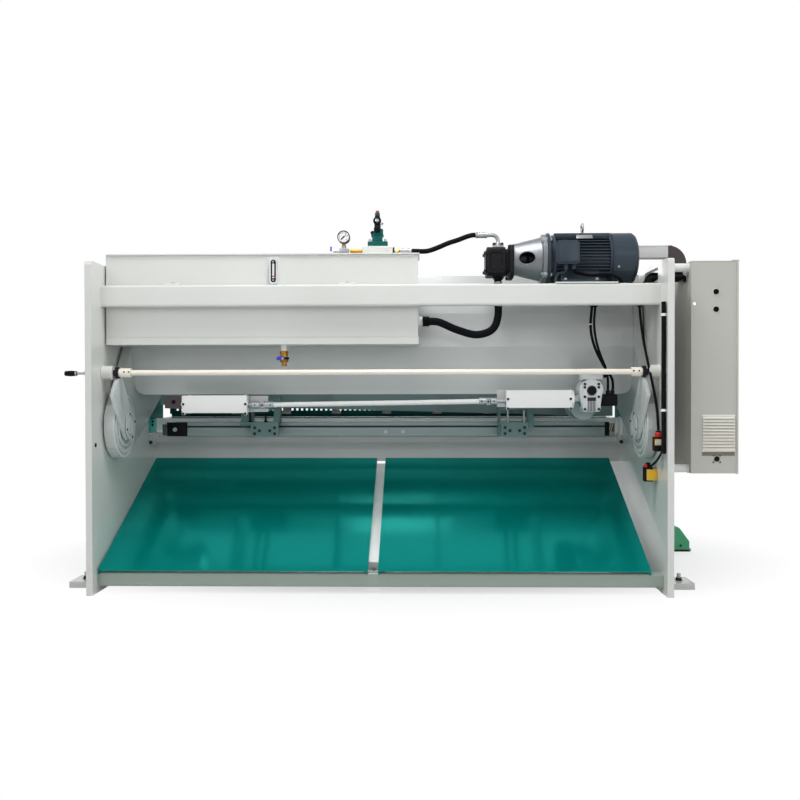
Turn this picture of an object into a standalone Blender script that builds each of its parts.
# Hydraulic swing beam shear, modelled in metres with +Z up.
# The operator stands on the +Y side, the rear with tank and motor faces -Y.
# Working frame: X 0 midway between the side plates, Y 0 at their rear edge, Z 0 on the floor.
# An empty moves the whole machine so that its own origin is the middle of its footprint box.

from math import acos, atan2, ceil, cos, hypot, pi, radians, sin, sqrt, tan

import bmesh
import bpy
from mathutils import Vector

# Driving dimensions of the frame
SPAN = 2.66
PLATE = 0.03
HEIGHT = 1.56
DEPTH = 1.35
TABLE_TOP = 0.796
THROAT_HEIGHT = 0.135
THROAT_DEPTH = 0.115
FOOT_WIDTH = 0.145
FOOT_LENGTH = 0.155
FOOT_THICKNESS = 0.03
REAR_FOOT_Y = 0.165
FRONT_FOOT_INSET = 0.2

# Fits
SEAT = 0.0003
SLIDE_FIT = 0.0005
BLADE_GAP = 0.001
CLEAR = 0.01

# Swing pivot, in the plane of a side plate
PIVOT_Y = 0.295
PIVOT_Z = 0.782
PIN_RADIUS = 0.045
SWING_RANGE = 8.0

# Swing beam
ARM_GAP = 0.01
ARM_THICKNESS = 0.045
ARM_END_RADIUS = 0.163
SHEET_THICKNESS = 0.012
SHEET_BOTTOM = (0.47, 0.935)
SHEET_FOLD_LOW = (0.42, 1.175)
SHEET_FOLD_HIGH = (0.44, 1.345)
SHEET_TOP = (0.52, 1.545)
SHEET_CORNER = 0.05
CARRIER_REAR = 0.915
CARRIER_THICKNESS = 0.045
CARRIER_TOP = 1.30
RAKE = radians(1.5)
BLADE_EDGE_MID = 0.84
BLADE_HEIGHT = 0.05
BLADE_THICKNESS = 0.02
BLADE_LEAN = 0.14
RIB_THICKNESS = 0.014
RIB_PLACES = (-0.9, -0.3, 0.3, 0.9)

# Table
LOWER_BLADE = 0.025
LOWER_BLADE_HEIGHT = 0.08
TABLE_PLATE = 0.05
TABLE_WEB = 0.045
TABLE_BOTTOM = 0.55
TABLE_DEPTH = 0.2635
TABLE_OVERHANG = 0.08
LEDGE_TOP = 0.69
LEDGE_HEIGHT = 0.03
LEDGE_DEPTH = 0.018

# Rear rails
TOP_RAIL_Y = 0.126
TOP_RAIL_Z = 1.356
TOP_RAIL_DEPTH = 0.05
TOP_RAIL_HEIGHT = 0.103
TOP_RAIL_WALL = 0.006
BASE_RAIL_Y = 0.065
BASE_RAIL_Z = 0.03
BASE_RAIL_DEPTH = 0.05
RAIL_ROUND = 0.01

# Hold-down beam and guard
HOLD_REAR = 1.065
HOLD_DEPTH = 0.12
HOLD_BOTTOM = 1.0
HOLD_TOP = 1.36
PRESS_COUNT = 9
PRESS_RADIUS = 0.036
PRESS_FOOT_RADIUS = 0.028
PRESS_LIFT = 0.022
GUARD_Y = 1.26
GUARD_THICKNESS = 0.004
GUARD_LIFT = 0.018
GUARD_HEIGHT = 0.25
GUARD_SLOTS = 88
SLOT_HEIGHT = 0.1
SLOT_SHARE = 0.45
SUPPORT_LENGTH = 0.5
SUPPORT_WIDTH = 0.07
SUPPORT_HEIGHT = 0.09
SUPPORT_PLACES = (-1.05, 0.05)
SQUARING_INSET = 0.18
SQUARING_LENGTH = 0.95

# Main cylinders
RAM_INSET = 0.14
RAM_Y = 0.76
RAM_RADIUS = 0.06
RAM_ROD_RADIUS = 0.03
RAM_BOTTOM = 1.26
RAM_TOP = 1.5
RAM_ROD_BOTTOM = 1.215

# Oil tank
TANK_SIDE_GAP = 0.008
PUMP_ROOM = 0.3304
TANK_REAR = 0.182
TANK_DEPTH = 0.205
TANK_BOTTOM = 1.177
TANK_HEIGHT = 0.431
TANK_WALL = 0.005
TANK_LIP = 0.034
TANK_LIP_OUT = 0.004
LID_THICKNESS = 0.006
LID_OVERHANG = 0.008
LID_COLLAR = 0.02
TAB_WIDTH = 0.08
TAB_THICKNESS = 0.008
TAB_SHARES = (0.219, 0.777)
LEVEL_SHARE = 0.54
DRAIN_SHARE = 0.568
CAP_INSET = 0.086
CAP_RADIUS = 0.022
CAP_RISE = 0.008

# Motor and pump
DRIVE_Y = 0.30
MOTOR_AXIS_HEIGHT = 0.13
MOTOR_BASE_TOP = 1.466
MOTOR_BASE = 0.0065
MOTOR_BASE_WEB = 0.022
MOTOR_BASE_INSET = 0.0265
MOTOR_BASE_LENGTH = 0.2935
MOTOR_BASE_DEPTH = 0.33
MOTOR_INSET = 0.518
MOTOR_FLANGE = 0.024
MOTOR_FLANGE_RADIUS = 0.13
MOTOR_BODY = 0.286
MOTOR_RADIUS = 0.108
FIN_COUNT = 32
FIN_HEIGHT = 0.014
FIN_THICKNESS = 0.006
FAN_COVER_LENGTH = 0.124
FAN_COVER_RADIUS = 0.126
BELL_LENGTH = 0.159
BELL_RADIUS = 0.112
BELL_NECK_RADIUS = 0.078
PUMP_LENGTH = 0.136
PUMP_RADIUS = 0.07
PUMP_DROP = 0.015
PORT_PLACE = 0.064
PORT_RADIUS = 0.021
VALVE_BLOCK_INSET = 0.1207
VALVE_BLOCK_LENGTH = 0.147
VALVE_BLOCK_DEPTH = 0.055
VALVE_BLOCK_HEIGHT = 0.036
CRIMP_RADIUS = 0.014
OUTLET_RISE = 0.0165
OUTLET_LENGTH = 0.075
ELBOW_RISE = 0.122
ELBOW_ARM = 0.105
SUCTION_Z = 1.292
SUCTION_DEPTH = 0.09
SPIGOT_LENGTH = 0.05

# Blade gap adjustment
GEAR_MODULE = 0.0045
PINION_TEETH = 11
SECTOR_TEETH = 120
SECTOR_TEETH_CUT = 11
PRESSURE_ANGLE = radians(25)
BACKLASH = 0.0003
ADDENDUM = 0.9
DEDENDUM = 1.25
SHAFT_BEARING = radians(118.5)
GEAR_INSET = 0.0247
GEAR_WIDTH = 0.018
SECTOR_HUB_RADIUS = 0.072
SECTOR_HUB_RING = 0.05
SHAFT_RADIUS = 0.0145
ROD_RADIUS = 0.0135
SLEEVE_RADIUS = 0.02
SLEEVE_LENGTH = 0.04
BOSS_RADIUS = 0.0335
BOSS_LENGTH = 0.052
CRANK_ARM = 0.12
CRANK_OFFSET = 0.035
CRANK_THICKNESS = 0.014
KNOB_REACH = 0.095
KNOB_RADIUS = 0.0125
KNOB_LENGTH = 0.06

# Back gauge, carried by the swing beam
SCREW_INSET = 0.64
SCREW_Z_LEFT = 0.888
SCREW_Z_RIGHT = 0.911
SCREW_RADIUS = 0.0125
GUIDE_RADIUS = 0.015
GUIDE_OFFSET = 0.055
GAUGE_BOX_Y = 0.25
GAUGE_BOX_DEPTH = 0.075
GAUGE_BOX_HEIGHT = 0.086
GAUGE_BOX_LENGTHS = (0.319, 0.317)
GAUGE_BOX_INSIDES = (0.035, 0.072)
HANGER_Y = 0.63
HANGER_DEPTH = 0.06
HANGER_WIDTH = 0.205
HANGER_SHIFT = 0.0275
HANGER_THICKNESS = 0.012
BAR_INSET = 0.19
BAR_END = 0.075
BAR_Y = 0.75
BAR_DEPTH = 0.016
BAR_BOTTOM = 0.706
BAR_TOP = 0.783
BAR_LIP = 0.028
GEARBOX_GAP = 0.01
GEARBOX_LENGTH = 0.131
GEARBOX_Z = (0.848, 1.015)
CROSS_RADIUS = 0.0125
JOINT_RADIUS = 0.021

# Chutes
CHUTE_LOW_Y = 0.045
CHUTE_LOW_Z = 0.112
CHUTE_HIGH_Z = 0.568
CHUTE_SHEET = 0.004
CHUTE_LIP = 0.025
CHUTE_SIDE_GAPS = (0.008, 0.062)
CHUTE_MIDDLE = (-0.05, -0.002)

# Cabinet
CABINET_STANDOFF = 0.113
CABINET_WIDTH = 0.22
CABINET_REAR = 0.12
CABINET_FRONT = 0.72
CABINET_BOTTOM = 0.56
CABINET_TOP = 1.559
CABINET_WALL = 0.003
DOOR_THICKNESS = 0.012
DOOR_GAP = 0.001
DOOR_HANG_Z = (0.12, 0.85)
HINGE_RADIUS = 0.006
HINGE_PIN_RADIUS = 0.0035
HINGE_LENGTH = 0.03
PANEL_SPACER = 0.02
STUB_RADIUS = 0.0195
STUB_ZS = (0.581, 1.535)
STUB_YS = (0.17, 0.67)
LOUVRES = 11
LOUVRE_PITCH = 0.0147
LOUVRE_SLOT = 0.006
LOUVRE_BOTTOM = 0.672
LOUVRE_START = 0.053
LOUVRE_LENGTH = 0.148

# Trunking
TRUNK_REACH = 0.31
TRUNK_REAR = 0.47
TRUNK_DEPTH = 0.07
TRUNK_BOTTOM = 1.628
TRUNK_HEIGHT = 0.062
ELBOW_RADIUS = 0.092
ELBOW_OVERHANG = 0.012

# Switches and conduit on the right plate
SWITCH_UPPER_Y = 0.055
SWITCH_UPPER_Z = 0.668
SWITCH_LOWER_Y = 0.175
SWITCH_LOWER_Z = 0.515
CONDUIT_Y = 0.025
CONDUIT_Z = (0.66, 1.36)
CONDUIT_RADIUS = 0.012

# Foot switch on the floor
PEDAL_OFFSET = 0.17
PEDAL_LENGTH = 0.26
PEDAL_INSET = 0.08
PEDAL_WIDTH = 0.16
PEDAL_HEIGHT = 0.145
PEDAL_BASE = 0.02

# Facets of round pieces
ROUND = 24
SMALL_ROUND = 14

# Sizes worked out from the driving dimensions
INNER = SPAN / 2
OUTER = INNER + PLATE
ARM_OUTER = INNER - ARM_GAP
ARM_INNER = ARM_OUTER - ARM_THICKNESS
SHEET_HALF = ARM_INNER - SEAT
GEAR_INNER_X = ARM_INNER - GEAR_INSET
CRANK_X = OUTER + CRANK_OFFSET
RAM_X = INNER - RAM_INSET
SQUARING_X = INNER - SQUARING_INSET
MOTOR_LEFT = INNER - MOTOR_INSET
MOTOR_BASE_LEFT = MOTOR_LEFT + MOTOR_BASE_INSET
PUMP_START = MOTOR_LEFT - BELL_LENGTH - PUMP_LENGTH - 2 * SEAT
TANK_LEFT = TANK_SIDE_GAP - INNER
TANK_RIGHT = PUMP_START - PUMP_ROOM
TANK_LENGTH = TANK_RIGHT - TANK_LEFT
TANK_TOP = TANK_BOTTOM + TANK_HEIGHT
DRAIN_X = TANK_LEFT + DRAIN_SHARE * TANK_LENGTH
VALVE_BLOCK_RIGHT = TANK_RIGHT - VALVE_BLOCK_INSET
VALVE_BLOCK_LEFT = VALVE_BLOCK_RIGHT - VALVE_BLOCK_LENGTH
SCREW_X = INNER - SCREW_INSET
GAUGE_BOX_LEFT = (GAUGE_BOX_INSIDES[0] - SCREW_X - GAUGE_BOX_LENGTHS[0], GAUGE_BOX_INSIDES[0] - SCREW_X)
GAUGE_BOX_RIGHT = (SCREW_X - GAUGE_BOX_INSIDES[1], SCREW_X - GAUGE_BOX_INSIDES[1] + GAUGE_BOX_LENGTHS[1])
GEARBOX_X = (GAUGE_BOX_RIGHT[1] + GEARBOX_GAP, GAUGE_BOX_RIGHT[1] + GEARBOX_GAP + GEARBOX_LENGTH)
BAR_HALF = INNER - BAR_INSET
CHUTE_LEFT = (CHUTE_SIDE_GAPS[0] - INNER, CHUTE_MIDDLE[0])
CHUTE_RIGHT = (CHUTE_MIDDLE[1], INNER - CHUTE_SIDE_GAPS[1])
CABINET_LEFT = OUTER + CABINET_STANDOFF
CABINET_RIGHT = CABINET_LEFT + CABINET_WIDTH
LOUVRE_X = (CABINET_LEFT + LOUVRE_START, CABINET_LEFT + LOUVRE_START + LOUVRE_LENGTH)
TRUNK_LEFT = INNER - TRUNK_REACH
PEDAL_LEFT = OUTER + PEDAL_OFFSET
CENTRES = GEAR_MODULE * (PINION_TEETH + SECTOR_TEETH) / 2
SHAFT_Y = PIVOT_Y + CENTRES * cos(SHAFT_BEARING)
SHAFT_Z = PIVOT_Z + CENTRES * sin(SHAFT_BEARING)
BLADE_FRONT = CARRIER_REAR + CARRIER_THICKNESS + SEAT + BLADE_THICKNESS


def blade_edge(x):
    """Height of the raked upper cutting edge at a place along the beam."""
    return BLADE_EDGE_MID - x * tan(RAKE)


def blade_reach():
    """Largest distance from the pivot of any blade point that gets down to the table top."""
    depth = BLADE_FRONT - PIVOT_Y
    rise = blade_edge(-SHEET_HALF) - PIVOT_Z
    swing = radians(SWING_RANGE)
    reach = hypot(depth, rise)
    for step in range(21):
        height = BLADE_HEIGHT * step / 20
        y, z = depth - BLADE_LEAN * height, rise + height
        if z * cos(swing) - y * sin(swing) <= TABLE_TOP - PIVOT_Z:
            reach = max(reach, hypot(y, z))
    return reach


TABLE_REAR = PIVOT_Y + blade_reach() + BLADE_GAP
LOWER_DEPTH = TABLE_REAR + TABLE_DEPTH
TABLE_FRONT = LOWER_DEPTH + TABLE_OVERHANG
FRONT_FOOT_Y = LOWER_DEPTH - FRONT_FOOT_INSET
PEDAL_Y = LOWER_DEPTH - PEDAL_INSET
CHUTE_LOW = (CHUTE_LOW_Y, CHUTE_LOW_Z)
CHUTE_HIGH = (TABLE_REAR - SEAT, CHUTE_HIGH_Z)
CHUTE_SLOPE = atan2(CHUTE_HIGH[1] - CHUTE_LOW[1], CHUTE_HIGH[0] - CHUTE_LOW[0])
BASE_RAIL_TOP = (
    CHUTE_LOW_Z
    + (BASE_RAIL_Y + RAIL_ROUND - CHUTE_LOW_Y) * tan(CHUTE_SLOPE)
    - (CHUTE_LIP + RAIL_ROUND + SEAT) / cos(CHUTE_SLOPE)
    + RAIL_ROUND
)
TOP_RAIL_TOP = TOP_RAIL_Z + TOP_RAIL_HEIGHT
DRIVE_Z = MOTOR_BASE_TOP + MOTOR_AXIS_HEIGHT
CABINET_DOOR_FACE = CABINET_RIGHT - DOOR_THICKNESS
HINGE_X = CABINET_RIGHT - 0.004
HINGE_Y = CABINET_FRONT + HINGE_RADIUS + 0.004

# The machine's box in the working frame, and the origin in the middle of its footprint
CRANK_LEFT = -(CRANK_X + SEAT + CRANK_THICKNESS + KNOB_REACH + KNOB_LENGTH)
MOST_RIGHT = PEDAL_LEFT + PEDAL_LENGTH
MOST_REAR = 0.0
MOST_FRONT = TABLE_FRONT + SQUARING_LENGTH
ORIGIN_X = (CRANK_LEFT + MOST_RIGHT) / 2
ORIGIN_Y = (MOST_REAR + MOST_FRONT) / 2

# Colours: paint off-white, beam grey, chute green and so on, as linear RGB
COLOURS = {
    "paint": ((0.62, 0.61, 0.57), 0.0, 0.35),
    "beam_paint": ((0.45, 0.47, 0.45), 0.0, 0.35),
    "green": ((0.03, 0.22, 0.19), 0.0, 0.4),
    "pedal_green": ((0.02, 0.3, 0.12), 0.0, 0.45),
    "steel": ((0.5, 0.5, 0.5), 1.0, 0.35),
    "dark_steel": ((0.06, 0.06, 0.06), 0.9, 0.45),
    "chrome": ((0.7, 0.7, 0.7), 1.0, 0.12),
    "brass": ((0.65, 0.42, 0.16), 1.0, 0.35),
    "aluminium": ((0.6, 0.6, 0.58), 1.0, 0.45),
    "motor_grey": ((0.045, 0.06, 0.075), 0.0, 0.45),
    "black": ((0.01, 0.01, 0.01), 0.0, 0.45),
    "rubber": ((0.012, 0.012, 0.012), 0.0, 0.7),
    "cabinet_paint": ((0.5, 0.49, 0.44), 0.0, 0.45),
    "blue": ((0.01, 0.06, 0.4), 0.0, 0.4),
    "yellow": ((0.75, 0.5, 0.03), 0.0, 0.45),
    "zinc": ((0.55, 0.56, 0.58), 1.0, 0.4),
    "plastic_grey": ((0.4, 0.4, 0.38), 0.0, 0.5),
    "glass": ((0.7, 0.75, 0.7), 0.0, 0.1),
}


def clear_scene():
    for item in list(bpy.data.objects):
        bpy.data.objects.remove(item, do_unlink=True)


def material(name):
    """A Principled material with the colour, metallic value and roughness of the table above."""
    found = bpy.data.materials.get(name)
    if found:
        return found
    colour, metallic, roughness = COLOURS[name]
    made = bpy.data.materials.new(name)
    made.use_nodes = True
    shader = made.node_tree.nodes["Principled BSDF"]
    shader.inputs["Base Color"].default_value = (*colour, 1.0)
    shader.inputs["Metallic"].default_value = metallic
    shader.inputs["Roughness"].default_value = roughness
    return made


class Frame:
    """An empty at a place in the working frame, which carries pieces modelled in that frame."""

    def __init__(self, name, place, parent=None):
        self.place = Vector(place)
        self.empty = bpy.data.objects.new(name, None)
        bpy.context.scene.collection.objects.link(self.empty)
        if parent:
            self.empty.parent = parent.empty
            self.empty.location = self.place - parent.place
        else:
            self.empty.location = self.place - Vector((ORIGIN_X, ORIGIN_Y, 0))

    def carry(self, piece):
        piece.parent = self.empty
        piece.location = -self.place
        return piece


def add_piece(frame, name, bm, slot, smooth=False):
    """Finish a bmesh as an object carried by a frame."""
    bmesh.ops.remove_doubles(bm, verts=bm.verts, dist=1e-6)
    bmesh.ops.recalc_face_normals(bm, faces=bm.faces)
    mesh = bpy.data.meshes.new(name)
    bm.to_mesh(mesh)
    bm.free()
    mesh.materials.append(material(slot))
    if smooth:
        mesh.shade_smooth()
        mesh.set_sharp_from_angle(angle=radians(35))
    piece = bpy.data.objects.new(name, mesh)
    bpy.context.scene.collection.objects.link(piece)
    return frame.carry(piece)


def boolean(piece, tool, operation):
    """Cut or join a piece with a tool, which stays in the scene as a hidden guide."""
    tool.hide_render = True
    tool.display_type = "WIRE"
    step = piece.modifiers.new(tool.name, "BOOLEAN")
    step.operation = operation
    step.object = tool
    step.solver = "EXACT"
    return piece


def cut(piece, *tools):
    for tool in tools:
        boolean(piece, tool, "DIFFERENCE")
    return piece


def join(piece, *tools):
    for tool in tools:
        boolean(piece, tool, "UNION")
    return piece


def at(axis, along, first, second):
    """A point from its place along an axis and its two cross coordinates, in X Y Z order."""
    if axis == "X":
        return Vector((along, first, second))
    if axis == "Y":
        return Vector((first, along, second))
    return Vector((first, second, along))


def prism(frame, name, outline, axis, start, end, slot):
    """Extrude a flat outline along an axis."""
    bm = bmesh.new()
    near = [bm.verts.new(at(axis, start, *point)) for point in outline]
    far = [bm.verts.new(at(axis, end, *point)) for point in outline]
    bm.faces.new(near)
    bm.faces.new(list(reversed(far)))
    for i in range(len(outline)):
        j = (i + 1) % len(outline)
        bm.faces.new((near[i], far[i], far[j], near[j]))
    return add_piece(frame, name, bm, slot)


def block(frame, name, x, y, z, slot, bevel=0.0, segments=2):
    """A box from its three ranges, with its edges rounded where a bevel is given."""
    outline = [(y[0], z[0]), (y[1], z[0]), (y[1], z[1]), (y[0], z[1])]
    piece = prism(frame, name, outline, "X", x[0], x[1], slot)
    if bevel:
        step = piece.modifiers.new("edges", "BEVEL")
        step.width = bevel
        step.segments = segments
        step.limit_method = "ANGLE"
    return piece


def turned(frame, name, profile, axis, centre, slot, count=ROUND):
    """Turn a profile of (place along the axis, radius) about an axis through a centre."""
    bm = bmesh.new()
    rings = []
    for along, radius in profile:
        ring = []
        for i in range(count):
            angle = 2 * pi * i / count
            first = centre[0] + radius * cos(angle)
            second = centre[1] + radius * sin(angle)
            ring.append(bm.verts.new(at(axis, along, first, second)))
        rings.append(ring)
    for a, b in zip(rings, rings[1:]):
        for i in range(count):
            j = (i + 1) % count
            bm.faces.new((a[i], b[i], b[j], a[j]))
    bm.faces.new(rings[0])
    bm.faces.new(list(reversed(rings[-1])))
    return add_piece(frame, name, bm, slot, smooth=True)


def rod(frame, name, axis, centre, radius, start, end, slot, count=ROUND):
    return turned(frame, name, [(start, radius), (end, radius)], axis, centre, slot, count)


def arc(centre, radius, start, end, steps):
    """Points on an arc, with its angles in radians."""
    points = []
    for i in range(steps + 1):
        angle = start + (end - start) * i / steps
        points.append((centre[0] + radius * cos(angle), centre[1] + radius * sin(angle)))
    return points


def rounded(corners, steps=4):
    """An outline whose corners are (first, second, fillet radius)."""
    points = []
    for i, (x, y, radius) in enumerate(corners):
        here = Vector((x, y))
        if radius <= 0:
            points.append((x, y))
            continue
        back = (Vector(corners[i - 1][:2]) - here).normalized()
        ahead = (Vector(corners[(i + 1) % len(corners)][:2]) - here).normalized()
        half = back.angle(ahead) / 2
        centre = here + (back + ahead).normalized() * radius / sin(half)
        first = here + back * radius / tan(half) - centre
        last = here + ahead * radius / tan(half) - centre
        start = atan2(first.y, first.x)
        turn = atan2(last.y, last.x) - start
        turn = (turn + pi) % (2 * pi) - pi
        points += arc(centre, radius, start, start + turn, steps)
    return points


def rectangle(x, y, radius=0.0, steps=3):
    corners = [(x[0], y[0]), (x[1], y[0]), (x[1], y[1]), (x[0], y[1])]
    return rounded([(*corner, radius) for corner in corners], steps)


def tube(frame, name, points, radius, slot, spacing=2.5):
    """A hose through its route's own points, read from a smooth curve."""
    route = [Vector(point) for point in points]
    ends = [route[0] * 2 - route[1]] + route + [route[-1] * 2 - route[-2]]
    smooth = []
    for a, b, c, d in zip(ends, ends[1:], ends[2:], ends[3:]):
        steps = max(1, ceil((c - b).length / (radius * 2 * spacing)))
        for i in range(steps):
            t = i / steps
            smooth.append(
                ((b * 2) + (c - a) * t + (a * 2 - b * 5 + c * 4 - d) * t * t
                 + (b * 3 - a - c * 3 + d) * t * t * t) / 2
            )
    smooth.append(route[-1])
    curve = bpy.data.curves.new(name, "CURVE")
    curve.dimensions = "3D"
    curve.bevel_depth = radius
    curve.bevel_resolution = 2
    curve.use_fill_caps = True
    spline = curve.splines.new("POLY")
    spline.points.add(len(smooth) - 1)
    for point, place in zip(spline.points, smooth):
        point.co = (*place, 1.0)
    curve.materials.append(material(slot))
    piece = bpy.data.objects.new(name, curve)
    bpy.context.scene.collection.objects.link(piece)
    return frame.carry(piece)


def sided(side, near, far):
    """A range of X on the left (side -1) or right (side 1) of the machine, in rising order."""
    return tuple(sorted((side * near, side * far)))


# Side plates


def housing_outline():
    throat_end = TABLE_REAR - THROAT_DEPTH
    throat_floor = TABLE_TOP - CLEAR
    throat_top = throat_floor + THROAT_HEIGHT
    slope_start = HEIGHT - 0.28
    return rounded([
        (0, 0, 0),
        (LOWER_DEPTH, 0, 0),
        (LOWER_DEPTH, throat_floor, 0.01),
        (throat_end, throat_floor, 0.05),
        (throat_end, throat_top, 0.05),
        (DEPTH, throat_top, 0.02),
        (DEPTH, slope_start, 0.05),
        (DEPTH - 0.22, HEIGHT, 0.05),
        (0, HEIGHT, 0.02),
    ])


def make_housing(frame, side, name):
    x = sided(side, INNER, OUTER)
    plate = prism(frame, name, housing_outline(), "X", *x, "paint")
    for end, start in (("rear", REAR_FOOT_Y), ("front", FRONT_FOOT_Y)):
        foot = block(frame, f"{name}_{end}_foot", sided(side, INNER + PLATE / 2, OUTER + FOOT_WIDTH),
                     (start, start + FOOT_LENGTH), (0, FOOT_THICKNESS), "paint")
        web_y = start + FOOT_LENGTH / 2
        outline = [
            (side * (OUTER - PLATE / 2), FOOT_THICKNESS / 2),
            (side * (OUTER + FOOT_WIDTH * 0.3), FOOT_THICKNESS / 2),
            (side * (OUTER - PLATE / 2), FOOT_THICKNESS + 0.07),
        ]
        web = prism(frame, f"{name}_{end}_web", outline, "Y", web_y - 0.006, web_y + 0.006, "paint")
        join(plate, foot, web)
    boss = rod(frame, f"{name}_boss", "X", (SHAFT_Y, SHAFT_Z), BOSS_RADIUS,
               side * (INNER - BOSS_LENGTH), side * (INNER + PLATE / 2), "paint")
    join(plate, boss)
    bore = rod(frame, f"{name}_shaft_bore", "X", (SHAFT_Y, SHAFT_Z), SHAFT_RADIUS + SLIDE_FIT,
               side * (INNER - BOSS_LENGTH - CLEAR), side * (OUTER + CLEAR), "paint")
    pivot = rod(frame, f"{name}_pivot_bore", "X", (PIVOT_Y, PIVOT_Z), PIN_RADIUS + SLIDE_FIT,
                side * (INNER - CLEAR), side * (OUTER + CLEAR), "paint")
    cut(plate, bore, pivot)
    if side > 0:
        opening = prism(frame, "cable_opening", rectangle((0.17, 0.42), (1.478, 1.54), 0.015),
                        "X", INNER - CLEAR, OUTER + CLEAR, "paint")
        cut(plate, opening)
    return plate


# Table, blades and rails


def make_table(frame):
    rebate_front = TABLE_REAR + LOWER_BLADE + SEAT
    rebate_floor = TABLE_TOP - LOWER_BLADE_HEIGHT - SEAT
    section = [
        (TABLE_REAR, TABLE_BOTTOM),
        (TABLE_REAR + TABLE_WEB, TABLE_BOTTOM),
        (TABLE_REAR + TABLE_WEB, rebate_floor - 0.06),
        (LOWER_DEPTH - 0.03, rebate_floor - 0.06),
        (LOWER_DEPTH - 0.03, TABLE_BOTTOM),
        (LOWER_DEPTH, TABLE_BOTTOM),
        (LOWER_DEPTH, TABLE_TOP - TABLE_PLATE),
        (TABLE_FRONT, TABLE_TOP - TABLE_PLATE),
        (TABLE_FRONT, TABLE_TOP),
        (rebate_front, TABLE_TOP),
        (rebate_front, rebate_floor),
        (TABLE_REAR, rebate_floor),
        (TABLE_REAR, LEDGE_TOP),
        (TABLE_REAR - LEDGE_DEPTH, LEDGE_TOP),
        (TABLE_REAR - LEDGE_DEPTH, LEDGE_TOP - LEDGE_HEIGHT),
        (TABLE_REAR, LEDGE_TOP - LEDGE_HEIGHT),
    ]
    return prism(frame, "table", section, "X", -INNER + SEAT, INNER - SEAT, "beam_paint")


def make_lower_blade(frame):
    outline = [
        (TABLE_REAR, TABLE_TOP - LOWER_BLADE_HEIGHT),
        (TABLE_REAR + LOWER_BLADE, TABLE_TOP - LOWER_BLADE_HEIGHT),
        (TABLE_REAR + LOWER_BLADE, TABLE_TOP),
        (TABLE_REAR, TABLE_TOP),
    ]
    return prism(frame, "lower_blade", outline, "X", -INNER + CLEAR, INNER - CLEAR, "steel")


def make_rails(frame):
    half = INNER - SEAT
    rail = prism(
        frame, "top_rail",
        rectangle((TOP_RAIL_Y, TOP_RAIL_Y + TOP_RAIL_DEPTH), (TOP_RAIL_Z, TOP_RAIL_TOP), RAIL_ROUND),
        "X", -half, half, "paint",
    )
    inner = (TOP_RAIL_Y + TOP_RAIL_WALL, TOP_RAIL_Y + TOP_RAIL_DEPTH - TOP_RAIL_WALL)
    heights = (TOP_RAIL_Z + TOP_RAIL_WALL, TOP_RAIL_TOP - TOP_RAIL_WALL)
    hollow = prism(frame, "top_rail_hollow", rectangle(inner, heights, RAIL_ROUND / 2),
                   "X", -INNER, INNER, "paint")
    cut(rail, hollow)
    prism(
        frame, "base_rail",
        rectangle((BASE_RAIL_Y, BASE_RAIL_Y + BASE_RAIL_DEPTH), (BASE_RAIL_Z, BASE_RAIL_TOP),
                  RAIL_ROUND),
        "X", -half, half, "paint",
    )


# Front of the machine


def make_hold_down(frame):
    front = HOLD_REAR + HOLD_DEPTH
    section = [
        (HOLD_REAR, HOLD_BOTTOM),
        (front, HOLD_BOTTOM),
        (front, HOLD_TOP),
        (front - 0.03, HOLD_TOP),
        (front - 0.03, HOLD_BOTTOM + 0.08),
        (HOLD_REAR, HOLD_BOTTOM + 0.08),
    ]
    beam = prism(frame, "hold_down_beam", section, "X", -INNER + SEAT, INNER - SEAT, "paint")
    pitch = (SPAN - 0.3) / (PRESS_COUNT - 1)
    y = HOLD_REAR + 0.045
    foot = TABLE_TOP + PRESS_LIFT
    for i in range(PRESS_COUNT):
        x = -SPAN / 2 + 0.15 + i * pitch
        profile = [
            (HOLD_BOTTOM + 0.03, PRESS_RADIUS),
            (foot + 0.06, PRESS_RADIUS),
            (foot + 0.05, PRESS_FOOT_RADIUS * 0.7),
            (foot + 0.02, PRESS_FOOT_RADIUS * 0.7),
            (foot + 0.015, PRESS_FOOT_RADIUS),
            (foot, PRESS_FOOT_RADIUS),
        ]
        press = turned(frame, f"press_{i + 1}", profile, "Z", (x, y), "steel", SMALL_ROUND)
        join(beam, press)
    return beam


def make_fascia_and_guard(frame):
    front = HOLD_REAR + HOLD_DEPTH
    bottom = TABLE_TOP + GUARD_LIFT + GUARD_HEIGHT
    fascia = [
        (front + SEAT, HOLD_TOP + 0.004),
        (front + SEAT, HOLD_TOP),
        (GUARD_Y - 0.004, HOLD_TOP),
        (GUARD_Y - 0.004, bottom + CLEAR),
        (GUARD_Y, bottom + CLEAR),
        (GUARD_Y, HOLD_TOP + 0.004),
    ]
    prism(frame, "fascia", fascia, "X", -INNER + 0.002, INNER - 0.002, "paint")
    low = TABLE_TOP + GUARD_LIFT
    section = [
        (GUARD_Y, low),
        (GUARD_Y + GUARD_THICKNESS, low),
        (GUARD_Y + GUARD_THICKNESS, bottom + 0.03),
        (GUARD_Y + SEAT, bottom + 0.03),
        (GUARD_Y + SEAT, bottom),
        (GUARD_Y, bottom),
    ]
    guard = prism(frame, "finger_guard", section, "X", -INNER + CLEAR, INNER - CLEAR, "green")
    pitch = (SPAN - 0.1) / GUARD_SLOTS
    for i in range(GUARD_SLOTS):
        start = -INNER + 0.05 + i * pitch
        width = pitch * SLOT_SHARE
        slot = block(frame, f"guard_slot_{i + 1}", (start, start + width),
                     (GUARD_Y - 0.01, GUARD_Y + 0.02), (low + 0.02, low + 0.02 + SLOT_HEIGHT), "green")
        cut(guard, slot)


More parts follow.
